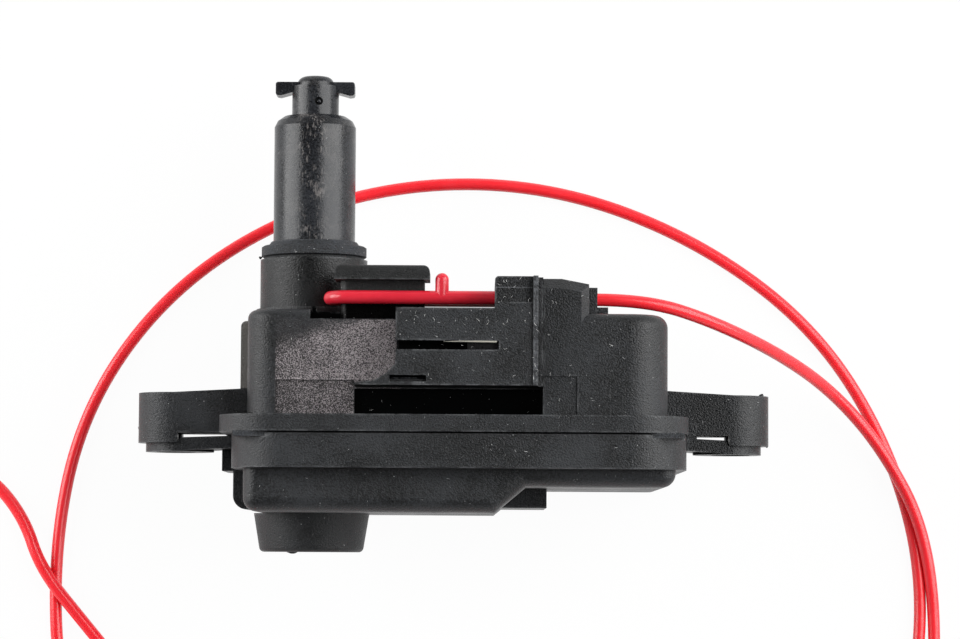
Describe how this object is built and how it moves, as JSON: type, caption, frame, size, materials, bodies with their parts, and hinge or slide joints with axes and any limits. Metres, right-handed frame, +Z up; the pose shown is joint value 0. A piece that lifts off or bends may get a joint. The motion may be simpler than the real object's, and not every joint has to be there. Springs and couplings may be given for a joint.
{
  "type": "fuel flap lock actuator",
  "caption": "Black plastic fuel flap lock actuator with a sprung push pin that ends in a T-head, mounting ears, a plug socket and a red emergency release cord.",
  "frame": {"origin": "on the surface that its flat back lies on, under the middle of the actuator's own box", "axes": "+Z up from the back to the plug side, +Y along the push pin towards its T-head, +X from the push pin's side to the release cord's side"},
  "size_m": [0.1754, 0.1443, 0.046],
  "materials": {
    "black_plastic": "satin, fine grain",
    "pin_plastic": "smooth satin",
    "seal_rubber": "matt",
    "acetal": "natural, satin",
    "grey_plastic": "light grey, satin",
    "red_nylon": "gloss",
    "spring_steel": "drawn wire",
    "steel": "plated",
    "ferrite": "dull, sintered",
    "bronze": "sintered",
    "tinned_brass": "tinned"
  },
  "bodies": {
    "housing": {"upper_housing": "black_plastic", "lower_cover": "black_plastic", "housing_seal": "seal_rubber", "spring_cap": "black_plastic", "guide_bush": "acetal", "tower_seal": "seal_rubber", "plunger_spring": "spring_steel", "guide_rod": "steel", "connector_housing": "black_plastic", "contact_carrier": "grey_plastic", "contact_pins": "tinned_brass", "gear_plate": "black_plastic", "wheel_axle": "steel", "bolt_guide": "black_plastic", "shaft_bracket": "black_plastic", "shaft_bush": "bronze", "motor_can": "steel", "motor_end_cap": "black_plastic", "motor_magnets": "ferrite", "motor_cradle": "black_plastic"},
    "plunger": {"plunger_sleeve": "pin_plastic"},
    "head": {"head_pin": "pin_plastic"},
    "armature": {"armature_core": "steel", "motor_shaft": "steel", "drive_worm": "bronze"},
    "wheel": {"worm_wheel": "acetal"},
    "bolt": {"lock_bolt": "acetal"},
    "release": {"release_slider": "black_plastic", "release_loop": "red_nylon", "release_cord": "red_nylon", "pull_tab": "red_nylon"}
  },
  "joints": [
    {"name": "plunger_slide", "type": "slide", "parent": "housing", "child": "plunger", "axis": [0, 1, 0], "range_m": [-0.01, 0], "stiffness_N_per_m": 300, "springref_m": 0.002, "deforming": ["plunger_spring"]},
    {"name": "head_turn", "type": "hinge", "parent": "plunger", "child": "head", "pos_m": [-0.0224, 0, 0.019], "axis": [0, 1, 0], "range_deg": [0, 90]},
    {"name": "worm_spin", "type": "hinge", "parent": "housing", "child": "armature", "pos_m": [0, -0.0113, 0.0145], "axis": [1, 0, 0], "range_deg": [0, 1418]},
    {"name": "wheel_turn", "type": "hinge", "parent": "housing", "child": "wheel", "pos_m": [-0.001, -0.0215, 0], "axis": [0, 0, 1], "range_deg": [0, 78.8]},
    {"name": "bolt_slide", "type": "slide", "parent": "housing", "child": "bolt", "axis": [-1, 0, 0], "range_m": [0, 0.0044]},
    {"name": "release_slide", "type": "slide", "parent": "housing", "child": "release", "axis": [1, 0, 0], "range_m": [0, 0.007]}
  ],
  "couplings": [
    {"joint": "head_turn", "follows": "plunger_slide", "rad_per_m": -157},
    {"joint": "wheel_turn", "follows": "worm_spin", "ratio": 0.055556},
    {"joint": "bolt_slide", "follows": "worm_spin", "m_per_rad": 0.00017778}
  ]
}
